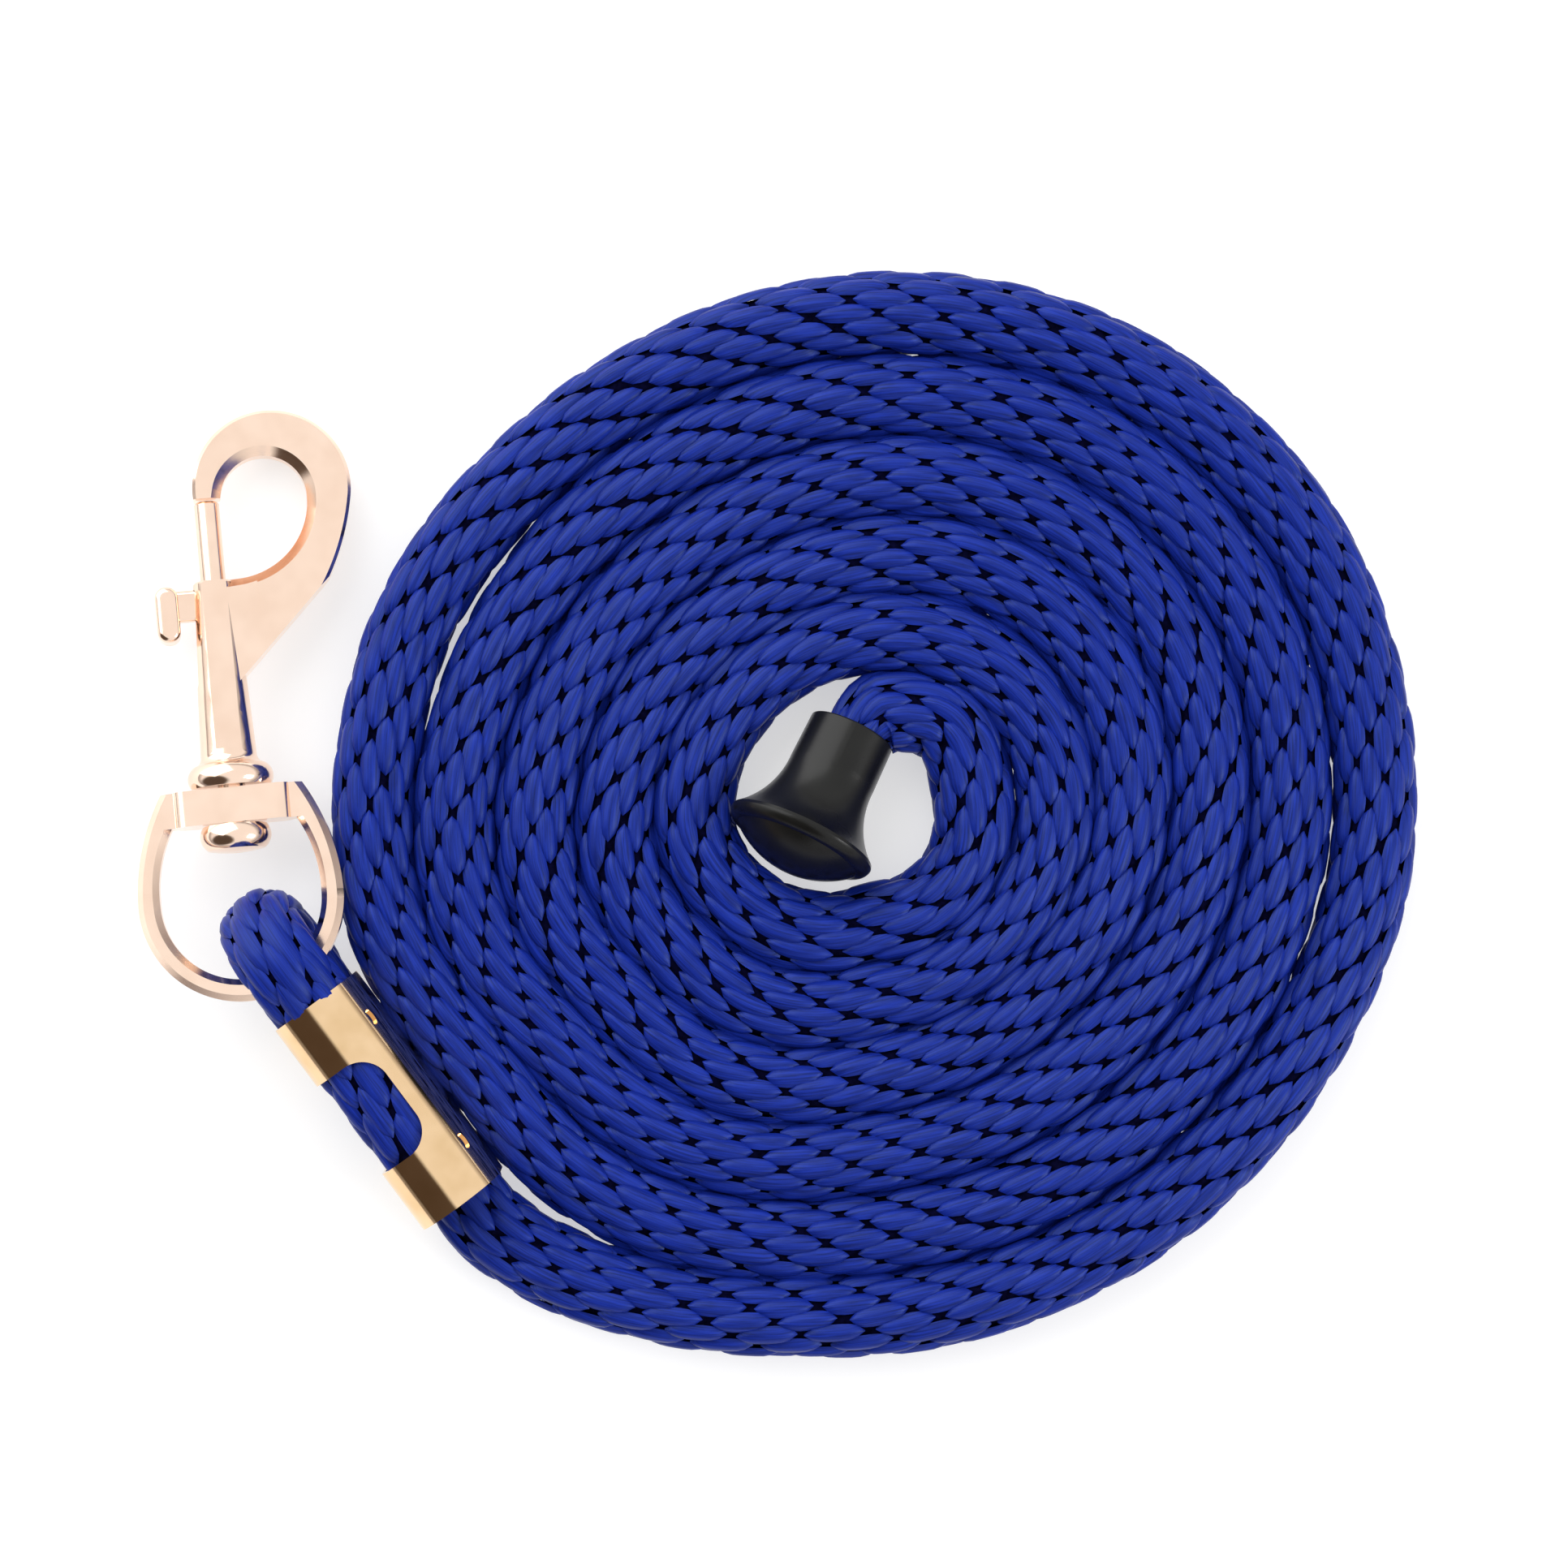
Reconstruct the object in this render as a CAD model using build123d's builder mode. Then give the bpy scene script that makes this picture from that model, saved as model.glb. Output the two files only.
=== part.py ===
"""Horse lead rope, laid out flat: a coiled solid-braid rope with a swivel bolt snap, a rope clamp and an end stopper.

Millimetres, +Z up. The rope coil, the clamp and the hook of the snap all lie on the surface z = 0.
"""

from build123d import *
import math
import os

# ---------------------------------------------------------------- driving dimensions
ROPE_D = 15.0  # diameter of the rope
STRAND_W = 16.0  # width of a strand squeezed by the clamp
STRAND_T = 12.4  # its thickness

COIL_X, COIL_Y = 68.5, 0.5  # centre of the coil
TURN_RADII = (95.8, 79.8, 64.4, 49.6, 35.1, 20.9)  # centreline radius of each turn
COIL_END_R = 18.9  # the sixth turn tightens to this radius where it ends
STEP_FROM = 0.76  # share of a turn after which the rope steps in to the next turn
COIL_END_DEG = 100.0  # where the sixth turn ends, counted from the bottom of the coil
COIL_EDGE_R = 6.5  # rounding of the coil's edges

EYE_X, EYE_Y, EYE_Z = -41.5, -29.4, 16.1  # where the ring's wire passes through the rope's eye
EYE_DEG = -53.5  # direction of the eye and the clamp, seen from above
EYE_DIP_DEG = 1.9  # the clamp's far end lies this much lower
EYE_END, EYE_EXIT = 46.5, 54.5  # where the folded-back end stops, and where the rope leaves the clamp

CLAMP_FROM, CLAMP_LENGTH = 6.6, 46.6
CLAMP_W, CLAMP_H, CLAMP_SHEET = 18.0, 27.4, 0.8
WINDOW_LENGTH, WINDOW_DEPTH = 20.5, 12.8  # the window's depth is from the side away from the coil
WINDOW_CORNER = 5.6
DENTS_AT, DENT_DEG = (15.1, 44.0), 33.0  # along the eye, and up from the side next to the coil

SNAP_TILT_DEG = 5.8  # the snap's axis, seen from above, against +Y
SNAP_DIP_DEG = 5.58  # the hook's end lies lower than the ring's
SNAP_ROLL_DEG = 7.1  # the hook leans over until its side touches the surface
RING_ARC_Y = -21.3  # centre of the ring's round part, below the snap's base
RING_OUTER_R, RING_WIRE = 19.5, 4.2
CROSSING_DEG = EYE_DEG - SNAP_TILT_DEG  # where on the ring the eye hangs

BARREL_LENGTH, BARREL_BASE_R, BARREL_TOP_R = 39.5, 5.35, 3.95
COLLAR_R = 8.15
PIN_R, PIN_FROM, PIN_TO = 2.4, 29.4, 54.9
BORE_R = 2.45
SHANK_R, SHANK_TO = 2.55, 7.0
RUNNING_R = 2.62  # hole of the ring's bar, which turns on the shank
TRAVEL = 12.5  # how far the bolt pulls back
HOOK_T = 6.6  # thickness of the hook
HOOK_X, HOOK_Y, HOOK_R = 12.6, 56.3, 15.05  # outer arc of the hook
MOUTH_X, MOUTH_Y, MOUTH_R = 11.0, 54.5, 8.15  # its inner arc
NOSE_Y = 55.25  # the nose's end, which the pin closes against
STEM_FROM, STEM_TO, STEM_W = 32.2, 38.2, 2.6
BAR_TOP, BAR_BOTTOM, BAR_T = -0.3, -7.0, 8.2
HEAD_TOP, HEAD_BOTTOM, HEAD_R = -7.3, -12.5, 6.75

STOPPER_X, STOPPER_Y, STOPPER_Z = 63.9, 16.2, 9.1  # centre of the stopper's mouth
STOPPER_DEG, STOPPER_RISE_DEG = 244.2, 14.0  # which way its closed end points
STOPPER_LENGTH, STOPPER_NECK_R, STOPPER_RIM_R = 30.0, 8.4, 14.6
SOCKET_R, SOCKET_DEPTH = 6.5, 18.0  # the rope's end is squeezed to this radius

# ---------------------------------------------------------------- frames of the sub-assemblies


def direction(heading_deg, rise_deg):
    """The unit vector of that heading from +X, and rise above the horizontal."""
    heading, rise = math.radians(heading_deg), math.radians(rise_deg)
    level = math.cos(rise)
    return Vector(level * math.cos(heading), level * math.sin(heading), math.sin(rise))


eye_along = direction(EYE_DEG, -EYE_DIP_DEG)
eye_across = direction(EYE_DEG + 90, 0)
eye_frame = Plane(origin=(EYE_X, EYE_Y, EYE_Z), x_dir=eye_along, z_dir=eye_along.cross(eye_across))

snap_up = direction(90 + SNAP_TILT_DEG, -SNAP_DIP_DEG)
snap_across = direction(SNAP_TILT_DEG, 0)
ring_normal = snap_across.cross(snap_up)
crossing_r = RING_OUTER_R - RING_WIRE / 2
crossing_x = crossing_r * math.cos(math.radians(CROSSING_DEG))
crossing_y = RING_ARC_Y + crossing_r * math.sin(math.radians(CROSSING_DEG))
snap_base = eye_frame.origin - snap_across * crossing_x - snap_up * crossing_y
ring_frame = Plane(origin=snap_base, x_dir=snap_across, z_dir=ring_normal)


def rolled(frame, degrees):
    """The same frame, rolled about its own Y axis: its +X side goes down."""
    turn = math.radians(degrees)
    x_dir = frame.x_dir * math.cos(turn) - frame.z_dir * math.sin(turn)
    return Plane(origin=frame.origin, x_dir=x_dir, z_dir=x_dir.cross(frame.y_dir))


snap_frame = rolled(ring_frame, SNAP_ROLL_DEG)
snap_axis = Axis(snap_base, snap_up)

stopper_along = direction(STOPPER_DEG, STOPPER_RISE_DEG)
stopper_mouth = Vector(STOPPER_X, STOPPER_Y, STOPPER_Z)


def across(frame, along):
    """The plane square to a frame's Y axis, at that distance along it."""
    origin = frame.from_local_coords(Vector(0, along, 0))
    return Plane(origin=origin, x_dir=frame.x_dir, z_dir=frame.y_dir)


def eye_point(along, up):
    """A point of the eye's middle plane, in the row's frame."""
    return eye_frame.from_local_coords(Vector(along, 0, up))


# ---------------------------------------------------------------- routes of the rope


LAPS = len(TURN_RADII) - 1 + COIL_END_DEG / 360


def turn_radius(turns):
    """Centreline radius of the coil after that many turns, counted from its bottom."""
    lap = min(int(turns), len(TURN_RADII) - 1)
    if lap == len(TURN_RADII) - 1:
        return TURN_RADII[lap] + (COIL_END_R - TURN_RADII[lap]) * (turns - lap) / (LAPS - lap)
    step = max(0.0, (turns - lap - STEP_FROM) / (1 - STEP_FROM))
    return TURN_RADII[lap] + (TURN_RADII[lap + 1] - TURN_RADII[lap]) * step


def coil_point(turns, offset=0.0):
    """A point of the coil's plan: the centreline, or that far outside it."""
    angle = 2 * math.pi * turns
    radius = turn_radius(turns) + offset
    return COIL_X + radius * math.sin(angle), COIL_Y - radius * math.cos(angle)


coil_start = (*coil_point(0), ROPE_D / 2)
coil_end = (*coil_point(LAPS), ROPE_D / 2)

strand = STRAND_T / 2 + 0.05  # how far each strand lies from the eye's middle plane
EYE_ROUTE = [
    (EYE_END, strand),
    (27.0, 6.7),
    (7.5, strand),
    (-4.9, 11.7),
    (-13.7, 0.0),
    (-4.9, -11.7),
    (7.5, -strand),
    (28.0, -6.1),
    (EYE_EXIT, -strand),
]
LEAD_ROUTE = [
    eye_point(EYE_EXIT, -strand),
    eye_point(EYE_EXIT + 6.7, -strand),
    (5.9, -85.7, 7.5),
    (20.4, -91.2, 7.5),
    (37.4, -94.5, 7.5),
    (53.4, coil_start[1], 7.5),
    coil_start,
]
TIP_ROUTE = [
    coil_end,
    Vector(*coil_end) + direction(COIL_END_DEG, 0) * 9.0,
    (81.2, 19.3, 7.8),
    (73.6, 20.6, 8.0),
    stopper_mouth - stopper_along * 3.5,
    stopper_mouth + stopper_along * SOCKET_DEPTH,
]


def corner_radii(name, points):
    """The arc of each corner: as large as its two runs allow. Printed to be read."""
    points = [Vector(*p) if isinstance(p, tuple) else p for p in points]
    radii = []
    for a, b, c in zip(points, points[1:], points[2:]):
        half_turn = math.radians((b - a).get_angle(c - b)) / 2
        shorter = min((b - a).length, (c - b).length)
        radii.append(0.45 * shorter / math.tan(half_turn))
    print(name, "radii", [round(r, 1) for r in radii])
    return radii


# ---------------------------------------------------------------- rope: eye, lead, coil, tip

eye_plan = Plane(origin=eye_frame.origin, x_dir=eye_frame.x_dir, z_dir=-eye_frame.y_dir)
with BuildPart() as rope_loop:
    with BuildLine(eye_plan) as eye_line:
        FilletPolyline(EYE_ROUTE, radius=corner_radii("eye", [(x, y, 0.0) for x, y in EYE_ROUTE]))
    with BuildSketch(Plane(origin=eye_line.line @ 0, x_dir=eye_frame.y_dir, z_dir=eye_line.line % 0)):
        Ellipse(STRAND_W / 2, STRAND_T / 2)
    sweep(path=eye_line.line)
rope_loop.part.label = "rope_loop"

with BuildPart() as rope_lead:
    with BuildLine() as lead_line:
        FilletPolyline(LEAD_ROUTE, radius=corner_radii("lead", LEAD_ROUTE))
    with BuildSketch(lead_line.line ^ 0):
        Circle(ROPE_D / 2)
    sweep(path=lead_line.line)
rope_lead.part.label = "rope_lead"

with BuildPart() as rope_tip:
    with BuildLine() as tip_line:
        FilletPolyline(TIP_ROUTE, radius=corner_radii("tip", TIP_ROUTE))
    with BuildSketch(tip_line.line ^ 0):
        Circle(SOCKET_R)
    sweep(path=tip_line.line)
rope_tip.part.label = "rope_tip"

POINTS_PER_TURN = 16
hole_from = COIL_END_DEG / 360 + len(TURN_RADII) - 2
outer_edge = [coil_point(i / POINTS_PER_TURN, ROPE_D / 2) for i in range(POINTS_PER_TURN)]
outer_edge.append(coil_point(0.9999, ROPE_D / 2))
hole_edge = [coil_point(hole_from + i / POINTS_PER_TURN, -ROPE_D / 2) for i in range(POINTS_PER_TURN + 1)]
with BuildPart() as rope_coil:
    with BuildSketch():
        with BuildLine():
            rim = Spline(outer_edge)
            Line(rim @ 1, rim @ 0)
        make_face()
        with BuildLine():
            hole = Spline(hole_edge)
            Line(hole @ 1, hole @ 0)
        make_face(mode=Mode.SUBTRACT)
    extrude(amount=ROPE_D)
    rims = rope_coil.edges().filter_by(GeomType.BSPLINE).sort_by(SortBy.LENGTH)[-4:]
    fillet(rims, radius=COIL_EDGE_R)
rope_coil.part.label = "rope_coil"

# ---------------------------------------------------------------- rope clamp


def clamp_section(inset):
    """The clamp's obround outline, drawn that far inside its outer face."""
    return SlotOverall(CLAMP_H - 2 * inset, CLAMP_W - 2 * inset, rotation=90)


clamp_plane = Plane(
    origin=eye_frame.from_local_coords(Vector(CLAMP_FROM, 0, 0)),
    x_dir=eye_frame.y_dir,
    z_dir=eye_frame.x_dir,
)
window_plane = Plane(
    origin=eye_frame.from_local_coords(Vector(CLAMP_FROM + CLAMP_LENGTH / 2, 0, 0)),
    x_dir=eye_frame.x_dir,
    z_dir=eye_frame.z_dir,
)
with BuildPart() as rope_clamp:
    with BuildSketch(clamp_plane):
        clamp_section(0)
        SlotOverall(CLAMP_H - 2 * CLAMP_SHEET, CLAMP_W - 2 * CLAMP_SHEET, rotation=90, mode=Mode.SUBTRACT)
    extrude(amount=CLAMP_LENGTH)
    # the window leaves two bands, joined by the spine
    with BuildSketch(window_plane):
        with BuildLine():
            deep, half = WINDOW_DEPTH - CLAMP_W / 2, WINDOW_LENGTH / 2
            bay = FilletPolyline(
                (-half, -CLAMP_W), (-half, deep), (half, deep), (half, -CLAMP_W), radius=WINDOW_CORNER
            )
            Line(bay @ 1, bay @ 0)
        make_face()
    extrude(amount=CLAMP_H, both=True, mode=Mode.SUBTRACT)
    # two punched dents in the shoulder next to the coil grip the rope
    shoulder = math.radians(DENT_DEG)
    dent_side = eye_frame.y_dir * math.cos(shoulder) + eye_frame.z_dir * math.sin(shoulder)
    for place in DENTS_AT:
        middle = eye_frame.from_local_coords(Vector(place, 0, (CLAMP_H - CLAMP_W) / 2))
        dent = Plane(origin=middle + dent_side * CLAMP_W / 2, x_dir=eye_frame.x_dir, z_dir=dent_side)
        with BuildSketch(dent):
            Ellipse(1.7, 0.9)
        extrude(amount=0.5, both=True, mode=Mode.SUBTRACT)
rope_clamp.part.label = "rope_clamp"

# ---------------------------------------------------------------- end stopper

stopper_section = Plane(
    origin=stopper_mouth,
    x_dir=stopper_along,
    z_dir=stopper_along.cross(direction(STOPPER_DEG, STOPPER_RISE_DEG + 90)),
)
RIM_AT = 22.6  # the flange's sharp rim, from the mouth
DOME_FROM, DOME_R = 25.2, 12.4  # where the shallow dome begins, and its radius there
dome_height = STOPPER_LENGTH - DOME_FROM
dome_sphere = (DOME_R**2 + dome_height**2) / (2 * dome_height)
dome_angle = math.degrees(math.asin(DOME_R / dome_sphere))
with BuildPart() as rope_stopper:
    with BuildSketch(stopper_section):
        with BuildLine():
            mouth = Polyline(
                (SOCKET_DEPTH, 0), (SOCKET_DEPTH, SOCKET_R), (0, SOCKET_R), (0, STOPPER_NECK_R - 0.4)
            )
            lip = RadiusArc(mouth @ 1, (0.4, STOPPER_NECK_R), 0.4)
            neck = Line(lip @ 1, (9.0, STOPPER_NECK_R + 0.2))
            flare = ThreePointArc(neck @ 1, (18.0, STOPPER_NECK_R + 2.3), (RIM_AT, STOPPER_RIM_R - 0.2))
            rim_edge = Line(flare @ 1, (RIM_AT + 0.6, STOPPER_RIM_R))
            ThreePointArc(rim_edge @ 1, (RIM_AT + 1.9, STOPPER_RIM_R - 0.7), (DOME_FROM, DOME_R))
            CenterArc((STOPPER_LENGTH - dome_sphere, 0), dome_sphere, 0, dome_angle)
            Line((STOPPER_LENGTH, 0), mouth @ 0)
        make_face()
    revolve(axis=Axis(stopper_mouth, stopper_along))
rope_stopper.part.label = "rope_stopper"

# ---------------------------------------------------------------- swivel ring


def mirrored(points):
    """The same points on the other side of the ring's middle line."""
    return [(-x, y) for x, y in points]


RING_SHOULDER = [(13.5, BAR_TOP), (17.9, -10.4), (RING_OUTER_R, RING_ARC_Y)]
RING_INSIDE = [(11.9, BAR_BOTTOM), (14.5, -13.5), (RING_OUTER_R - RING_WIRE, RING_ARC_Y)]
RING_BEVEL = 1.15


def ring_outline(shoulder):
    """One closed edge of the ring: a straight top, two bowed arms and a half circle."""
    bottom = (0, RING_ARC_Y - shoulder[2][0])
    ThreePointArc(*shoulder)
    ThreePointArc(shoulder[2], bottom, (-shoulder[2][0], RING_ARC_Y))
    ThreePointArc(*mirrored(shoulder))
    Line(shoulder[0], (-shoulder[0][0], shoulder[0][1]))


with BuildPart() as swivel_ring:
    with BuildSketch(ring_frame.offset(-RING_WIRE / 2)):
        with BuildLine():
            ring_outline(RING_SHOULDER)
        make_face()
        with BuildLine():
            ring_outline(RING_INSIDE)
        make_face(mode=Mode.SUBTRACT)
    extrude(amount=RING_WIRE)
    faces = swivel_ring.faces().filter_by(GeomType.PLANE).sort_by(SortBy.AREA)[-2:]
    chamfer(faces.edges().filter_by(GeomType.CIRCLE), length=RING_BEVEL)
    # the bar is a thicker boss where the stud passes through it
    with BuildSketch(across(ring_frame, BAR_BOTTOM)):
        RectangleRounded(22.0, BAR_T, 2.2)
    extrude(amount=BAR_TOP - BAR_BOTTOM)
    with BuildSketch(across(ring_frame, BAR_BOTTOM - 1)):
        Circle(RUNNING_R)
    extrude(amount=BAR_TOP - BAR_BOTTOM + 2, mode=Mode.SUBTRACT)
swivel_ring.part.label = "swivel_ring"

# ---------------------------------------------------------------- swivel stud

CROWN_R, CROWN_HEIGHT = HEAD_R - 1.4, 0.6
crown_sphere = (CROWN_R**2 + CROWN_HEIGHT**2) / (2 * CROWN_HEIGHT)
crown_angle = math.degrees(math.asin(CROWN_R / crown_sphere))
with BuildPart() as swivel_stud:
    with BuildSketch(snap_frame):
        with BuildLine():
            shank = Polyline(
                (0, SHANK_TO), (SHANK_R, SHANK_TO), (SHANK_R, HEAD_TOP), (HEAD_R - 0.7, HEAD_TOP)
            )
            ThreePointArc(
                shank @ 1, (HEAD_R, (HEAD_TOP + HEAD_BOTTOM) / 2 + 0.4), (CROWN_R, HEAD_BOTTOM + CROWN_HEIGHT)
            )
            CenterArc((0, HEAD_BOTTOM + crown_sphere), crown_sphere, 270, crown_angle)
            Line((0, HEAD_BOTTOM), shank @ 0)
        make_face()
    revolve(axis=snap_axis)
swivel_stud.part.label = "swivel_stud"

# ---------------------------------------------------------------- snap body

FACET_TURN_DEG = 2.0  # the barrel's flat facet is turned a little towards the hook's side
FACET_EDGE = 2.5  # the facet ends where the web begins, this far from the snap's axis
facet_normal = rolled(snap_frame, FACET_TURN_DEG).z_dir
facet_plane = Plane(origin=snap_base, x_dir=snap_up, z_dir=snap_up.cross(facet_normal))
with BuildPart() as barrel:
    with BuildSketch(snap_frame):
        with BuildLine():
            collar = ThreePointArc((7.5, 0), (COLLAR_R, 1.7), (6.9, 4.2))
            neck_in = ThreePointArc(collar @ 1, (5.7, 4.95), (BARREL_BASE_R, 6.2))
            side = Line(neck_in @ 1, (BARREL_TOP_R, BARREL_LENGTH - 0.4))
            Polyline(side @ 1, (BARREL_TOP_R - 0.4, BARREL_LENGTH), (0, BARREL_LENGTH), (0, 0), (7.5, 0))
        make_face()
    revolve(axis=snap_axis)

hook_rim = (
    HOOK_X + HOOK_R * math.cos(math.radians(-10)),
    HOOK_Y + HOOK_R * math.sin(math.radians(-10)),
)
mouth_side = (MOUTH_X + MOUTH_R, MOUTH_Y)
with BuildPart() as snap_body:
    with BuildSketch(snap_frame.offset(-HOOK_T / 2)):
        with BuildLine():
            back = CenterArc((HOOK_X, HOOK_Y), HOOK_R, -10, 194)
            heel = TangentArc(hook_rim, (22.0, 38.4), tangent=(math.sin(math.radians(-10)), -0.985))
            Polyline(heel @ 1, (3.2, 19.6), (0, 19.6), (0, BARREL_LENGTH - 0.2), (5.5, BARREL_LENGTH + 0.1))
            TangentArc(mouth_side, (5.5, BARREL_LENGTH + 0.1), tangent=(0, -1))
            crook = ThreePointArc(mouth_side, (MOUTH_X, MOUTH_Y + MOUTH_R + 0.2), (3.0, 56.6))
            Polyline(crook @ 1, (2.7, NOSE_Y), back @ 1)
        make_face()
    extrude(amount=HOOK_T)
    flats = snap_body.faces().filter_by(Axis(snap_base, snap_frame.z_dir)).sort_by(SortBy.AREA)[-2:]
    arcs = flats.edges().filter_by(GeomType.CIRCLE)
    chamfer(arcs.filter_by(lambda e: 20 < e.length < 30), length=1.7)
    flats = snap_body.faces().filter_by(Axis(snap_base, snap_frame.z_dir)).sort_by(SortBy.AREA)[-2:]
    arcs = flats.edges().filter_by(GeomType.CIRCLE)
    chamfer(arcs.filter_by(lambda e: e.length > 30 or 15 < e.length < 18), length=0.6)
    add(barrel.part)
    with BuildSketch(facet_plane.offset(-FACET_EDGE)):
        Polygon((7.0, 4.72), (40.0, 3.15), (40.0, 9.0), (7.0, 9.0), align=None)
    extrude(amount=COLLAR_R + FACET_EDGE, mode=Mode.SUBTRACT)
    with BuildSketch(across(snap_frame, 0)):
        Circle(BORE_R)
    extrude(amount=BARREL_LENGTH + 1, mode=Mode.SUBTRACT)
    with BuildSketch(across(snap_frame, 0)):
        Circle(SHANK_R)
    extrude(amount=SHANK_TO, mode=Mode.SUBTRACT)
    # slot in the barrel's outer side, which the thumb knob's stem runs along
    slot_from = STEM_FROM - TRAVEL - 0.3
    slot_to = STEM_TO + 0.3
    with BuildSketch(Plane(origin=snap_base, x_dir=snap_frame.y_dir, z_dir=-snap_frame.x_dir)):
        with Locations(((slot_from + slot_to) / 2, 0)):
            RectangleRounded(slot_to - slot_from, STEM_W + 0.6, 0.9)
    extrude(amount=COLLAR_R, mode=Mode.SUBTRACT)
snap_body.part.label = "snap_body"

# ---------------------------------------------------------------- bolt: pin, knob and spring

knob_plane = Plane(origin=snap_base, x_dir=snap_frame.y_dir, z_dir=-snap_frame.x_dir)
stem_middle = (STEM_FROM + STEM_TO) / 2
with BuildPart() as bolt_pin:
    with BuildSketch(across(snap_frame, PIN_FROM)):
        Circle(PIN_R)
    extrude(amount=PIN_TO - PIN_FROM)
    chamfer(bolt_pin.edges().filter_by(GeomType.CIRCLE).sort_by(snap_axis), length=0.45)
    with BuildSketch(knob_plane):
        with Locations((stem_middle, 0)):
            Circle(1.1)
    extrude(amount=PIN_R, mode=Mode.SUBTRACT)
bolt_pin.part.label = "bolt_pin"

KNOB_IN, KNOB_OUT = 6.9, 11.3  # from the snap's axis
with BuildPart() as thumb_knob:
    with BuildSketch(knob_plane):
        with Locations((stem_middle, 0)):
            Circle(1.1)
    extrude(amount=PIN_R + 0.4)
    with BuildSketch(knob_plane.offset(PIN_R + 0.05)):
        with Locations((stem_middle, 0)):
            RectangleRounded(STEM_TO - STEM_FROM, STEM_W, 0.8)
    extrude(amount=KNOB_IN - PIN_R + 0.5)
    with BuildSketch(snap_frame.offset(-3.4)):
        with Locations((-(KNOB_IN + KNOB_OUT) / 2, 33.6)):
            RectangleRounded(KNOB_OUT - KNOB_IN, 10.7, 2.1)
    extrude(amount=6.8)
    knob_faces = thumb_knob.faces().filter_by(Axis(snap_base, snap_frame.z_dir)).sort_by(SortBy.AREA)[-2:]
    fillet(knob_faces.edges(), radius=1.2)
thumb_knob.part.label = "thumb_knob"

SPRING_WIRE, SPRING_COILS = 0.55, 10
spring_length = PIN_FROM - SHANK_TO - SPRING_WIRE - 0.1
with BuildPart() as bolt_spring:
    with BuildLine() as spring_line:
        Helix(
            pitch=spring_length / SPRING_COILS,
            height=spring_length,
            radius=BORE_R - SPRING_WIRE / 2 - 0.15,
            center=snap_base + snap_up * (SHANK_TO + SPRING_WIRE / 2 + 0.05),
            direction=snap_up,
        )
    with BuildSketch(Plane(origin=spring_line.line @ 0, z_dir=spring_line.line % 0)):
        Circle(SPRING_WIRE / 2)
    sweep(path=spring_line.line, is_frenet=True)
bolt_spring.part.label = "bolt_spring"

# ---------------------------------------------------------------- export

PARTS = [
    rope_loop,
    rope_lead,
    rope_coil,
    rope_tip,
    rope_clamp,
    rope_stopper,
    swivel_ring,
    swivel_stud,
    snap_body,
    bolt_pin,
    thumb_knob,
    bolt_spring,
]
os.makedirs("parts", exist_ok=True)
for piece in PARTS:
    export_step(piece.part, f"parts/{piece.part.label}.step")


def run_length(line):
    """Length of a route's straight runs and arcs together."""
    return sum(edge.length for edge in line.edges())


lead_tube = math.pi * ROPE_D**2 / 4 * run_length(lead_line)
print("lead length", round(run_length(lead_line), 1), "volume ratio", round(rope_lead.part.volume / lead_tube, 4))
print("eye length", round(run_length(eye_line), 1), "tip length", round(run_length(tip_line), 1))
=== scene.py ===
"""Looks of the lead rope: the braided rope, its metal fittings and its stopper, on a pale floor.

Metres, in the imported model's frame. The rope is one line, from its cut end in the clamp, through the eye,
round the coil and into the stopper, and its braid is rows of stitches that follow that line.
"""

import math

import bpy
import numpy as np
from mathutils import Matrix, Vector


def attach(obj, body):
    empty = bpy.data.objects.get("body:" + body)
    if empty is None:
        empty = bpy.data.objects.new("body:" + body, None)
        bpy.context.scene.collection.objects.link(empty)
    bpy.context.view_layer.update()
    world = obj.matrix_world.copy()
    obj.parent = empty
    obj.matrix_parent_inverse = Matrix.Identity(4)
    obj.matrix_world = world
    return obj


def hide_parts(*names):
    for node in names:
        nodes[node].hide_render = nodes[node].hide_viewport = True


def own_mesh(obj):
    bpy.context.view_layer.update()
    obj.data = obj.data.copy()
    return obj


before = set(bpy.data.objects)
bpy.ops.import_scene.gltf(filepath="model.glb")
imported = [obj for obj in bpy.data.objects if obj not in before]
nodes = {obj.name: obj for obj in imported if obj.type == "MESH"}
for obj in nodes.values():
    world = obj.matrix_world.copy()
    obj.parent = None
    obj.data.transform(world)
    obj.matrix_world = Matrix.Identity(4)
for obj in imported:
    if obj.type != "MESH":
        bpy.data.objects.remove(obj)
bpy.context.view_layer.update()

# ---------------------------------------------------------------- driving values
EYE = Vector((-0.0415, -0.0294, 0.0161))  # where the ring's wire passes through the rope's eye
EYE_DEG, EYE_DIP_DEG = -53.5, 1.9
STRAND = 0.00625  # each strand's distance from the eye's middle plane
EYE_ROUTE = [  # along the eye and up from its middle plane, from the rope's cut end
    (0.0465, STRAND),
    (0.0270, 0.0067),
    (0.0075, STRAND),
    (-0.0049, 0.0117),
    (-0.0137, 0.0),
    (-0.0049, -0.0117),
    (0.0075, -STRAND),
    (0.0280, -0.0061),
    (0.0545, -STRAND),
]
OUT_OF_CLAMP = 0.0067  # how far the rope runs straight on from the clamp
LEAD_ROUTE = [(0.0059, -0.0857, 0.0075), (0.0204, -0.0912, 0.0075), (0.0374, -0.0945, 0.0075)]
LEAD_END_X = 0.0534  # the last point before the coil

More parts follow.
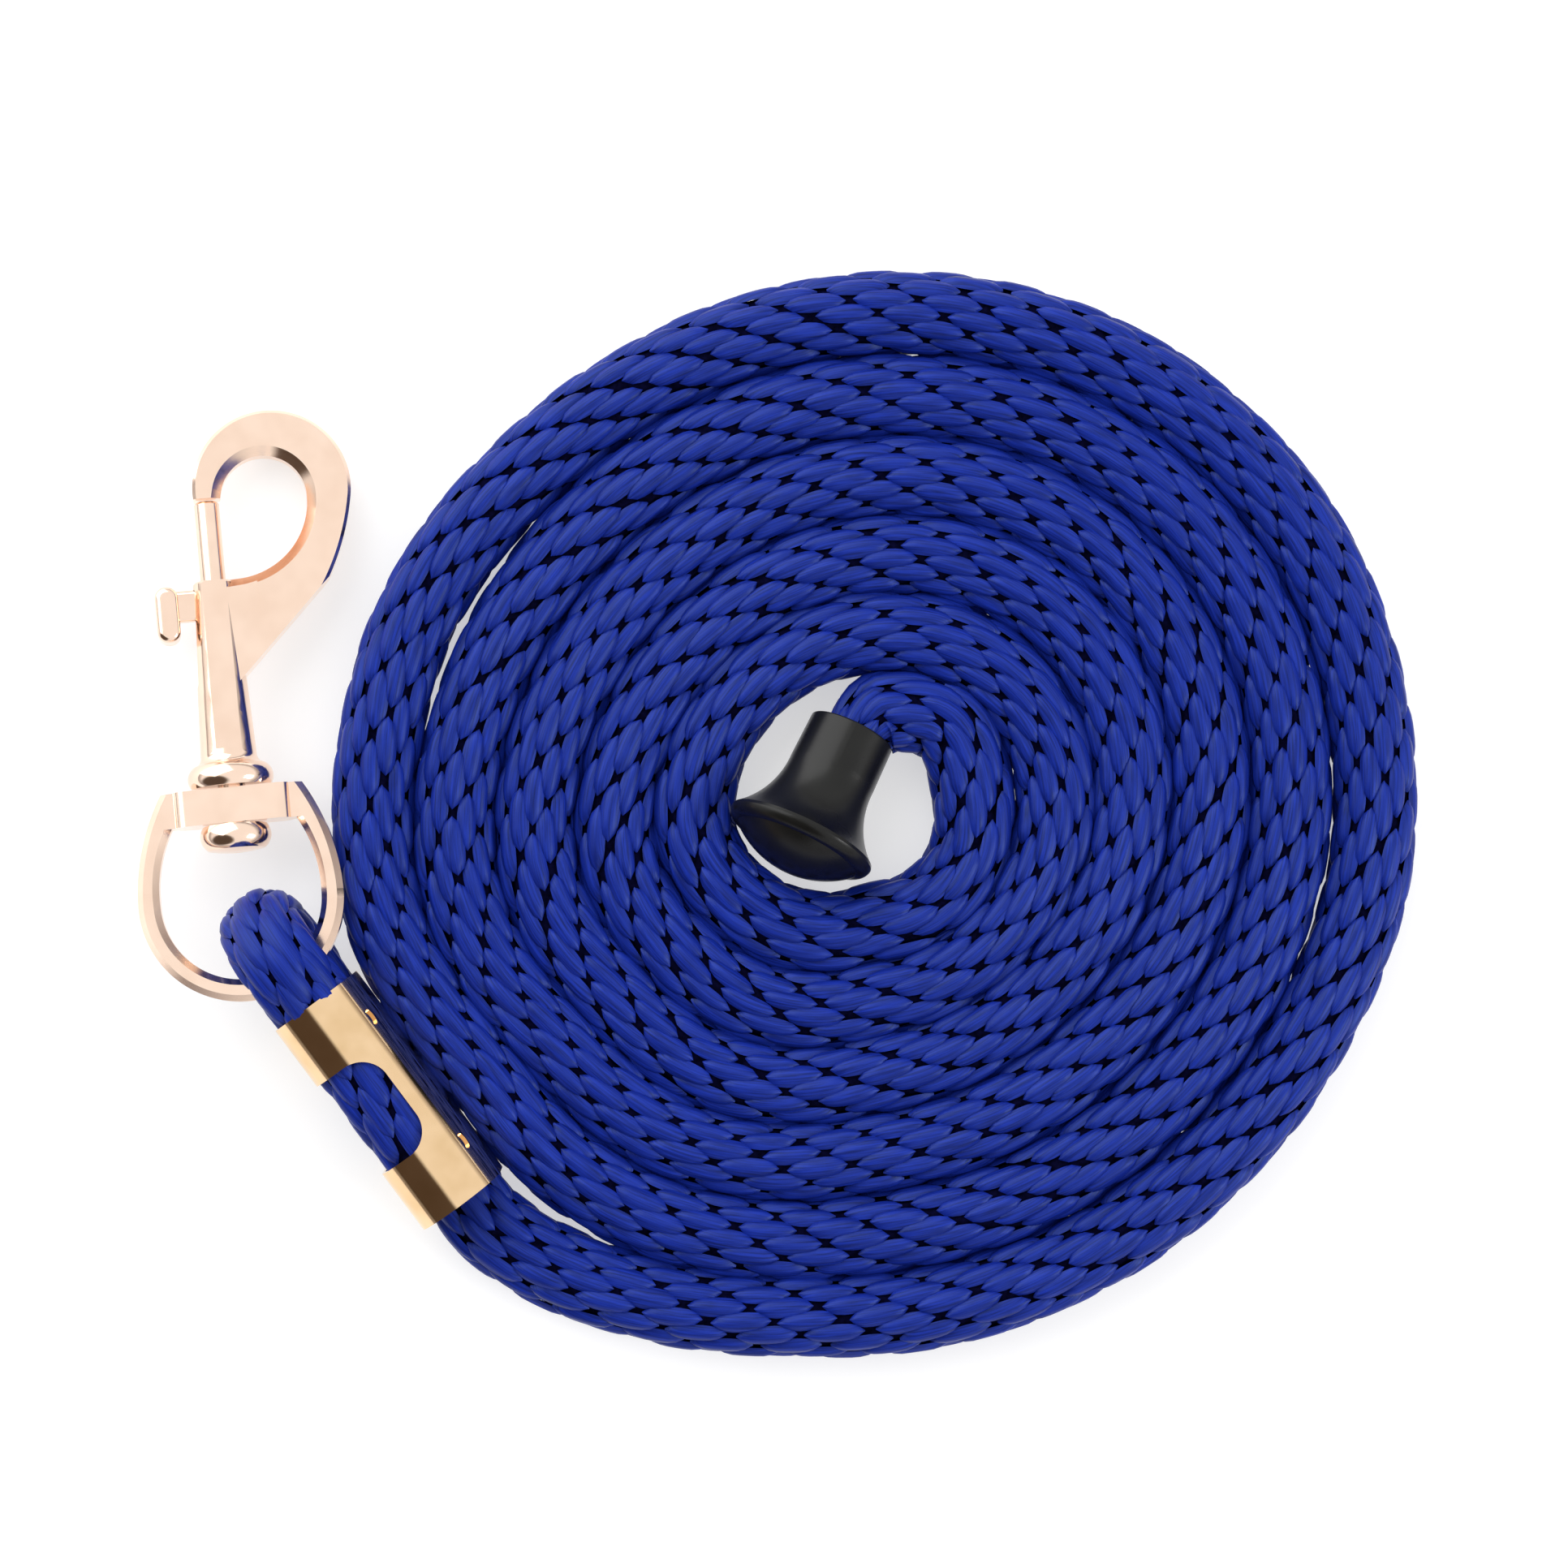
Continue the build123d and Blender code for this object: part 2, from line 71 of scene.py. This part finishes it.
COIL = Vector((0.0685, 0.0005, 0.0075))
TURN_RADII = (0.0958, 0.0801, 0.0646, 0.0496, 0.0351, 0.0209)
COIL_END_R, COIL_END_DEG = 0.0189, 100.0
COIL_RUN_OUT = 0.009  # how far the rope runs straight on from the coil's inner end
STEP_FROM = 0.77  # share of a turn after which the rope steps in to the next turn
SQUEEZE, LEFT_PULL = 0.00275, 0.0008  # the coil is squeezed on one diagonal, and pulled a little to the left
LEFT = 0.72  # the share of a turn, from the coil's bottom, at which it is pulled
ROUND_AT, ROUNDING = 5, 1.5  # the turn at which the coil is round, and over how many turns it gets there
STANDS_OUT = [(0.23, 0.0010), (0.68, 0.0017)]  # where the outer turn stands off the next one, and how far
PUSHED_IN = [(0.84, 0.0042), (1.85, 0.0032), (2.85, 0.0022), (3.85, 0.0010)]  # the turns beside the clamp
BUMP_TURNS = 0.035  # how long each of those stretches is
POINTS_PER_TURN = 32

STOPPER_MOUTH = Vector((0.0639, 0.0162, 0.0091))
STOPPER_DEG, STOPPER_RISE_DEG = 244.2, 14.0
MOUTH_GAP = 0.0035  # the last free point, before the stopper's mouth
SOCKET_DEPTH = 0.018
IN_SOCKET = 0.78  # share of its thickness that the rope keeps in the stopper
SOCKET_LEAD_IN = 0.006  # length of rope over which it narrows
TIP_ROUTE = [(0.0812, 0.0193, 0.0078), (0.0736, 0.0206, 0.0080)]

COLUMNS = 16  # columns of stitches round the rope
COLUMN_SHIFT = 0.375  # how far each column runs ahead of the last, in stitches
PITCH = 0.0129  # from one stitch to the next
FIRST_ROW = 0.55  # where the first row's stitches start, in rows
END_CLEAR = 0.55  # how near the rope's end the middle of a stitch may be, in stitch lengths
STITCH_LENGTH, STITCH_WIDTH = 0.0114, 0.0043
STITCH_TOP, STITCH_ROOT = 0.0076, 0.0059  # radii of a stitch's crown and of its sunken edges
STITCH_BLUNT, STITCH_TAPER = 2.8, 0.55  # powers that shape a stitch's outline
EDGE_SINKS, END_SINKS, END_BLUNT = 0.86, 0.55, 3.5  # how a stitch's crown falls off to its edges and ends
PLACE_VARIES, WIDTH_VARIES = 0.00022, 0.05  # from stitch to stitch, in metres and as a share
LEAN_VARIES, HEIGHT_VARIES = 0.025, 0.00009  # likewise, as a slope and in metres
LEAN_WAVE = (0.05, 23.0, 1.0)  # the stitches' slope wanders along the rope: most, radians per metre, start
ROLL_WAVES = [(0.5, 13.0, 0.6), (0.15, 31.0, 2.0)]  # the braid turns about the rope likewise, in radians
CORE_R = 0.0060
CORE_SIDES = 14
CORE_STEP, CORE_INSET = 0.004, 0.0005
STITCH_STEPS, STITCH_SIDES = 9, 5  # points along and across a stitch
EYE_FLAT, EYE_WIDE = 0.827, 1.067  # how the eye's section is squeezed and spread
COIL_WIDE = 1.085  # the coil's turns are a little wider than they are high
EYE_UNTIL = 0.136  # length of rope in the eye and the clamp
EYE_FADES = 0.012  # length over which the section changes after that
EYE_PRESSED = 1.18  # how much wider the stitches lie in the eye and the clamp
FIBRES_PER_M = (110, 2800, 1)  # how fine the yarn's fibres are, along and across a stitch

VIEW_CENTRE = (0.0509, 0.00625)
VIEW_HEIGHT, VIEW_WIDTH = 0.85, 0.2995  # the camera's height over the rope, and the width it takes in there
FLAG_DEG, FLAG_RISE_DEG = 225, 40  # where the dark flag stands
FLOOR_REACH, FLOOR_GAP = 3, 0.0002  # the floor's half width, and how far it is below the rope


# ---------------------------------------------------------------- the rope's line


def direction(heading_deg, rise_deg):
    """The unit vector of that heading from +X, and rise above the horizontal."""
    heading, rise = math.radians(heading_deg), math.radians(rise_deg)
    level = math.cos(rise)
    return Vector((level * math.cos(heading), level * math.sin(heading), math.sin(rise)))


eye_along = direction(EYE_DEG, -EYE_DIP_DEG)
eye_across = direction(EYE_DEG + 90, 0)
eye_up = eye_along.cross(eye_across)
stopper_along = direction(STOPPER_DEG, STOPPER_RISE_DEG)
LAPS = len(TURN_RADII) - 1 + COIL_END_DEG / 360


def out_of_round(turns):
    """How far the coil's centreline lies outside a true circle; its innermost turn is round."""
    offset = LEFT_PULL * math.cos(2 * math.pi * (turns - LEFT)) - SQUEEZE * math.sin(4 * math.pi * turns)
    offset *= min(1.0, max(0.0, (ROUND_AT - turns) / ROUNDING))
    for at, most in STANDS_OUT:
        offset += most * math.exp(-(((turns - at) / BUMP_TURNS) ** 2))
    for at, most in PUSHED_IN:
        offset -= most * math.exp(-(((turns - at) / BUMP_TURNS) ** 2))
    return offset


def turn_radius(turns):
    """Mean centreline radius of the coil after that many turns, counted from its bottom."""
    lap = min(int(turns), len(TURN_RADII) - 1)
    if lap == len(TURN_RADII) - 1:
        return TURN_RADII[lap] + (COIL_END_R - TURN_RADII[lap]) * (turns - lap) / (LAPS - lap)
    step = max(0.0, (turns - lap - STEP_FROM) / (1 - STEP_FROM))
    return TURN_RADII[lap] + (TURN_RADII[lap + 1] - TURN_RADII[lap]) * step


def coil_point(turns):
    """A point of the coil's centreline."""
    angle = 2 * math.pi * turns
    radius = turn_radius(turns) + out_of_round(turns)
    return COIL + Vector((radius * math.sin(angle), -radius * math.cos(angle), 0))


def rope_route():
    """The whole rope's control points, from the cut end in the clamp to the end in the stopper."""
    points = [EYE + eye_along * along + eye_up * up for along, up in EYE_ROUTE]
    points.append(points[-1] + eye_along * OUT_OF_CLAMP)
    points += LEAD_ROUTE
    points.append((LEAD_END_X, coil_point(0).y, COIL.z))
    steps = int(LAPS * POINTS_PER_TURN)
    points += [coil_point(i / POINTS_PER_TURN) for i in range(steps)]
    coil_end = coil_point(LAPS)
    points += [coil_end, coil_end + direction(COIL_END_DEG, 0) * COIL_RUN_OUT]
    points += TIP_ROUTE
    points += [STOPPER_MOUTH - stopper_along * MOUTH_GAP, STOPPER_MOUTH + stopper_along * SOCKET_DEPTH]
    return points


def read_line(points):
    """Points close together on the smooth line that those control points give."""
    curve = bpy.data.curves.new("rope_line", "CURVE")
    curve.dimensions = "3D"
    curve.resolution_u = 8
    spline = curve.splines.new("NURBS")
    spline.points.add(len(points) - 1)
    for place, point in zip(spline.points, points):
        place.co = (*point, 1)
    spline.order_u = 3
    spline.use_endpoint_u = True
    holder = bpy.data.objects.new("rope_line", curve)
    bpy.context.scene.collection.objects.link(holder)
    bpy.context.view_layer.update()
    mesh = bpy.data.meshes.new_from_object(holder)
    line = np.array([vertex.co for vertex in mesh.vertices])
    bpy.data.objects.remove(holder)
    return line


class Line:
    """A line by its length, with a frame that doesn't twist along it."""

    def __init__(self, points, spacing=0.001):
        runs = np.linalg.norm(np.diff(points, axis=0), axis=1)
        at = np.concatenate([[0], np.cumsum(runs)])
        self.length = at[-1]
        self.at = np.linspace(0, self.length, int(self.length / spacing) + 1)
        self.points = np.stack([np.interp(self.at, at, points[:, k]) for k in range(3)], axis=1)
        self.along = np.gradient(self.points, axis=0)
        self.along /= np.linalg.norm(self.along, axis=1)[:, None]
        side = [np.array(eye_across)]
        for tangent in self.along[1:]:
            level = side[-1] - tangent * np.dot(side[-1], tangent)
            side.append(level / np.linalg.norm(level))
        self.side = np.array(side)
        self.out = np.cross(self.along, self.side)

    def read(self, table, at):
        """A vector of the line, at those lengths."""
        return np.stack([np.interp(at, self.at, table[:, k]) for k in range(3)], axis=-1)

    def surface(self, at, angle, radius):
        """Points of the rope's skin: flattened in the eye, wide in the coil and narrow in the stopper."""
        in_socket = np.clip((at - self.length + SOCKET_DEPTH + SOCKET_LEAD_IN) / SOCKET_LEAD_IN, 0, 1)
        away = self.read(self.side, at) * np.cos(angle)[..., None]
        away += self.read(self.out, at) * np.sin(angle)[..., None]
        away *= (radius * (1 - (1 - IN_SOCKET) * in_socket))[..., None]
        across, up = np.array(eye_across), np.array((0.0, 0.0, 1.0))
        in_eye = away * EYE_FLAT + (away @ across)[..., None] * across * (EYE_WIDE - EYE_FLAT)
        in_coil = away * COIL_WIDE + (away @ up)[..., None] * up * (1 - COIL_WIDE)
        share = np.clip((EYE_UNTIL + EYE_FADES - at) / EYE_FADES, 0, 1)[..., None]
        return self.read(self.points, at) + in_coil + (in_eye - in_coil) * share


# ---------------------------------------------------------------- the braid


def grid_faces(count, wide, high):
    """Faces of that many separate grids of points."""
    corner = np.arange(wide - 1)[:, None] * high + np.arange(high - 1)[None, :]
    one = np.stack([corner, corner + high, corner + high + 1, corner + 1], axis=-1).reshape(-1, 4)
    return (np.arange(count)[:, None, None] * wide * high + one[None]).reshape(-1, 4)


def wave(at, most, rate, start):
    """A value that wanders along the rope."""
    return most * np.sin(at * rate + start)


def pillow(reach, across):
    """Radius of a stitch's skin at a place on it: a long pillow, its ends and edges sunk into the rope."""
    crown = np.sqrt(1 - EDGE_SINKS * across**2) * (1 - END_SINKS * np.abs(reach) ** END_BLUNT)
    return STITCH_ROOT + (STITCH_TOP - STITCH_ROOT) * crown


def stitch_mesh(line, chance):
    """Points, faces and UVs of every stitch. Each column runs ahead of the last, as in a solid braid."""
    rows = int(line.length / PITCH)
    row, column = (table.ravel() for table in np.meshgrid(np.arange(rows), np.arange(COLUMNS)))
    middle = (row + FIRST_ROW + (column * COLUMN_SHIFT) % 1.0) * PITCH
    fits = middle < line.length - STITCH_LENGTH * END_CLEAR
    middle, column = middle[fits][:, None, None], column[fits][:, None, None]
    count = len(middle)
    reach = np.linspace(-1, 1, STITCH_STEPS)[None, :, None]
    across = np.linspace(-1, 1, STITCH_SIDES)[None, None, :]
    middle = middle + chance.normal(0, PLACE_VARIES, (count, 1, 1))
    wide = STITCH_WIDTH / 2 * chance.normal(1, WIDTH_VARIES, (count, 1, 1))
    wide = wide * (1 - np.abs(reach) ** STITCH_BLUNT) ** STITCH_TAPER
    wide = wide * np.where(middle < EYE_UNTIL, EYE_PRESSED, 1.0)
    lean = wave(middle, *LEAN_WAVE) + chance.normal(0, LEAN_VARIES, (count, 1, 1))
    at = middle + reach * STITCH_LENGTH / 2 + across * 0
    off = across * wide + reach * STITCH_LENGTH / 2 * lean
    roll = wave(at, *ROLL_WAVES[0]) + wave(at, *ROLL_WAVES[1])
    angle = 2 * math.pi * column / COLUMNS + roll + off / STITCH_TOP
    radius = pillow(reach, across) + chance.normal(0, HEIGHT_VARIES, (count, 1, 1))
    points = line.surface(at, angle, np.minimum(radius, STITCH_TOP))
    uv = np.stack([at, off + chance.uniform(0, 1, (count, 1, 1))], axis=-1)
    return points.reshape(-1, 3), grid_faces(count, STITCH_STEPS, STITCH_SIDES), uv.reshape(-1, 2)


def core_mesh(line):
    """The rope's inside, which shows between the stitches; its material paints it near black as painted
    shade.
    """
    at = np.arange(CORE_INSET, line.length - CORE_INSET, CORE_STEP)
    turn = np.linspace(0, 2 * math.pi, CORE_SIDES + 1)
    at, angle = np.meshgrid(at, turn, indexing="ij")
    points = line.surface(at, angle, np.full(at.shape, CORE_R))
    uv = np.stack([at, angle * CORE_R], axis=-1)
    return points.reshape(-1, 3), grid_faces(1, *at.shape), uv.reshape(-1, 2)


def new_object(name, points, faces, uv, materials, slots):
    """A smooth mesh object with UVs, and a material slot for each face."""
    mesh = bpy.data.meshes.new(name)
    mesh.from_pydata(points.tolist(), [], faces.tolist())
    mesh.uv_layers.new(name="along_across")
    mesh.uv_layers[0].data.foreach_set("uv", uv[faces.ravel()].ravel())
    for material in materials:
        mesh.materials.append(material)
    mesh.polygons.foreach_set("material_index", slots)
    mesh.shade_smooth()
    thing = bpy.data.objects.new(name, mesh)
    bpy.context.scene.collection.objects.link(thing)
    return thing


def braided_rope(line):
    """The rope: its stitches round a core painted near black as shade, as one piece."""
    stitches = stitch_mesh(line, np.random.default_rng(7))
    core = core_mesh(line)
    points = np.concatenate([stitches[0], core[0]])
    faces = np.concatenate([stitches[1], core[1] + len(stitches[0])])
    uv = np.concatenate([stitches[2], core[2]])
    slots = np.concatenate([np.zeros(len(stitches[1]), int), np.ones(len(core[1]), int)])
    # the core's material is painted shade, near black, for the gaps between the stitches
    return new_object("braided_rope", points, faces, uv, [rope_fibre(), painted_shade_core()], slots)


# ---------------------------------------------------------------- materials


def new_material(name, **values):
    """A material whose shader has these values, with its node tree and its shader."""
    material = bpy.data.materials.new(name)
    material.use_nodes = True
    tree = material.node_tree
    shader = tree.nodes["Principled BSDF"]
    for key, value in values.items():
        shader.inputs[key.replace("_", " ")].default_value = value
    return material, tree, shader


def ramp(tree, source, low, high, low_at=0.3, high_at=0.7):
    """Colours between two ends, by a node's output."""
    node = tree.nodes.new("ShaderNodeValToRGB")
    node.color_ramp.elements[0].position = low_at
    node.color_ramp.elements[0].color = low
    node.color_ramp.elements[1].position = high_at
    node.color_ramp.elements[1].color = high
    tree.links.new(source, node.inputs["Fac"])
    return node.outputs["Color"]


def noise(tree, vector, scale, detail=3.0, roughness=0.5):
    """Noise over those coordinates."""
    node = tree.nodes.new("ShaderNodeTexNoise")
    node.inputs["Scale"].default_value = scale
    node.inputs["Detail"].default_value = detail
    node.inputs["Roughness"].default_value = roughness
    tree.links.new(vector, node.inputs["Vector"])
    return node.outputs["Fac"]


def stretched(tree, source, scale):
    """Coordinates scaled by that much along each axis."""
    node = tree.nodes.new("ShaderNodeMapping")
    node.inputs["Scale"].default_value = scale
    tree.links.new(source, node.inputs["Vector"])
    return node.outputs["Vector"]


def coordinates(tree, kind):
    """Texture coordinates of that kind."""
    return tree.nodes.new("ShaderNodeTexCoord").outputs[kind]


def paint(tree, shader, source, low, high):
    """Colours the shader between two ends, by a node's output."""
    tree.links.new(ramp(tree, source, low, high), shader.inputs["Base Color"])


def roughen(tree, shader, source, low, high):
    """Varies the shader's roughness between two ends, by a node's output."""
    node = tree.nodes.new("ShaderNodeMapRange")
    node.inputs["To Min"].default_value = low
    node.inputs["To Max"].default_value = high
    tree.links.new(source, node.inputs["Value"])
    tree.links.new(node.outputs["Result"], shader.inputs["Roughness"])


def bump(tree, shader, height, strength, distance):
    """Small relief on the shader's surface."""
    node = tree.nodes.new("ShaderNodeBump")
    node.inputs["Strength"].default_value = strength
    node.inputs["Distance"].default_value = distance
    tree.links.new(height, node.inputs["Height"])
    tree.links.new(node.outputs["Normal"], shader.inputs["Normal"])


def rope_fibre():
    """Blue multifilament yarn: fine fibres along each stitch, and a soft sheen."""
    tint = (0.55, 0.75, 1.0, 1)
    material, tree, shader = new_material(
        "rope_fibre", Roughness=0.42, Specular_IOR_Level=0.27, Specular_Tint=tint
    )
    fibres = noise(tree, stretched(tree, coordinates(tree, "UV"), FIBRES_PER_M), 1.0, 4.0, 0.6)
    paint(tree, shader, fibres, (0.0018, 0.006, 0.09, 1), (0.0085, 0.028, 0.33, 1))
    bump(tree, shader, fibres, 0.45, 0.00012)
    return material


def painted_shade_core():
    """The rope's inside: near-black painted shade, standing in for the shade that falls between the
    stitches.
    """
    material, tree, shader = new_material("painted_shade_core", Roughness=0.9, Specular_IOR_Level=0.0)
    mottle = noise(tree, coordinates(tree, "Object"), 900.0)
    # painted shade: near-black colours that stand in for the shade in the gaps between the stitches
    paint(tree, shader, mottle, (0.001, 0.001, 0.006, 1), (0.003, 0.003, 0.02, 1))
    return material


def cast_metal(name, low, high, roughness):
    """Polished plated metal, with the faint waviness and fine scuffs of a tumbled casting."""
    material, tree, shader = new_material(name, Metallic=1.0)
    place = coordinates(tree, "Object")
    broad = noise(tree, place, 140.0, 2.0)
    fine = noise(tree, place, 2600.0, 4.0, 0.7)
    paint(tree, shader, broad, low, high)
    roughen(tree, shader, fine, *roughness)
    bump(tree, shader, broad, 0.12, 0.0002)
    return material


def satin_rubber():
    """Moulded black rubber with a soft sheen."""
    material, tree, shader = new_material("satin_rubber", Specular_IOR_Level=0.28)
    place = coordinates(tree, "Object")
    fine = noise(tree, place, 3200.0, 3.0)
    broad = noise(tree, place, 90.0, 3.0)
    paint(tree, shader, broad, (0.0035, 0.0035, 0.0033, 1), (0.008, 0.0082, 0.0075, 1))
    roughen(tree, shader, broad, 0.24, 0.32)
    bump(tree, shader, fine, 0.12, 0.00008)
    return material


def drawn_steel():
    """Plain bright spring wire."""
    material, tree, shader = new_material("drawn_steel", Metallic=1.0, Roughness=0.3)
    fine = noise(tree, coordinates(tree, "Object"), 1800.0, 3.0)
    paint(tree, shader, fine, (0.42, 0.42, 0.44, 1), (0.62, 0.62, 0.64, 1))
    bump(tree, shader, fine, 0.2, 0.00005)
    return material


# ---------------------------------------------------------------- fittings from the CAD


def give(material, *names):
    """Puts a material on CAD nodes."""
    for name in names:
        nodes[name].data.materials.clear()
        nodes[name].data.materials.append(material)


def squeezed_spring():
    """A copy of the bolt's spring, with its own mesh and steel, set on the snap in place of the spring."""
    mesh = nodes["bolt_spring"].data.copy()
    mesh.materials.clear()
    mesh.materials.append(drawn_steel())
    spring = bpy.data.objects.new("squeezed_spring", mesh)
    bpy.context.scene.collection.objects.link(spring)
    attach(spring, "snap")
    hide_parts("bolt_spring")
    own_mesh(spring)


# ---------------------------------------------------------------- camera, light and floor


def camera():
    """Straight down over the middle of the picture, with its top towards +Y."""
    data = bpy.data.cameras.new("camera")
    data.lens = data.sensor_width * VIEW_HEIGHT / VIEW_WIDTH
    data.clip_start = 0.01
    thing = bpy.data.objects.new("camera", data)
    thing.location = (*VIEW_CENTRE, COIL.z + VIEW_HEIGHT)
    bpy.context.scene.collection.objects.link(thing)
    bpy.context.scene.camera = thing


def softbox(name, place, size, power):
    """A square white light that faces the middle of the picture."""
    data = bpy.data.lights.new(name, "AREA")
    data.size = size
    data.energy = power
    thing = bpy.data.objects.new(name, data)
    thing.location = place
    aim = Vector((*VIEW_CENTRE, 0)) - Vector(place)
    thing.rotation_euler = aim.to_track_quat("-Z", "Y").to_euler()
    bpy.context.scene.collection.objects.link(thing)


def surroundings():
    """A pale room, dim only at the horizon, with one dark flag over the near left."""
    world = bpy.data.worlds.new("room")
    bpy.context.scene.world = world
    world.use_nodes = True
    tree = world.node_tree
    place = coordinates(tree, "Generated")
    split = tree.nodes.new("ShaderNodeSeparateXYZ")
    tree.links.new(place, split.inputs["Vector"])
    room = ramp(tree, split.outputs["Z"], (0.22, 0.19, 0.20, 1), (1.0, 1.0, 1.0, 1), 0.0, 0.25)
    towards = tree.nodes.new("ShaderNodeVectorMath")
    towards.operation = "DOT_PRODUCT"
    towards.inputs[1].default_value = direction(FLAG_DEG, FLAG_RISE_DEG)
    tree.links.new(place, towards.inputs[0])
    flag = ramp(tree, towards.outputs["Value"], (1, 1, 1, 1), (0.09, 0.065, 0.05, 1), 0.78, 0.86)
    both = tree.nodes.new("ShaderNodeVectorMath")
    both.operation = "MULTIPLY"
    tree.links.new(room, both.inputs[0])
    tree.links.new(flag, both.inputs[1])
    tree.links.new(both.outputs["Vector"], tree.nodes["Background"].inputs["Color"])


def floor():
    """A pale floor, a little below the rope."""
    mesh = bpy.data.meshes.new("floor")
    corners = [(-1, -1), (1, -1), (1, 1), (-1, 1)]
    mesh.from_pydata([(x * FLOOR_REACH, y * FLOOR_REACH, 0) for x, y in corners], [], [(0, 1, 2, 3)])
    material, _, _ = new_material(
        "pale_floor",
        Roughness=0.8,
        Base_Color=(0.5, 0.5, 0.5, 1),
        Emission_Color=(1, 1, 1, 1),
        Emission_Strength=0.55,
    )
    mesh.materials.append(material)
    thing = bpy.data.objects.new("floor", mesh)
    thing.location.z = -FLOOR_GAP
    bpy.context.scene.collection.objects.link(thing)


# ---------------------------------------------------------------- the scene

bpy.context.scene.view_settings.view_transform = "Standard"
camera()
surroundings()
floor()
softbox("key", (-0.75, 0.85, 0.75), 1.8, 22)
softbox("fill", (0.95, -0.35, 0.6), 0.4, 5)

line = Line(read_line(rope_route()))
rope = braided_rope(line)
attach(rope, "rope")
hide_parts("rope_loop", "rope_lead", "rope_coil", "rope_tip")

rose = cast_metal("rose_gold", (0.94, 0.70, 0.55, 1), (1.0, 0.77, 0.62, 1), (0.09, 0.18))
clamp = cast_metal("clamp_gold", (0.80, 0.55, 0.30, 1), (0.92, 0.66, 0.40, 1), (0.0675, 0.135))
give(rose, "swivel_ring", "swivel_stud", "snap_body", "bolt_pin", "thumb_knob")
give(clamp, "rope_clamp")
give(satin_rubber(), "rope_stopper")
squeezed_spring()
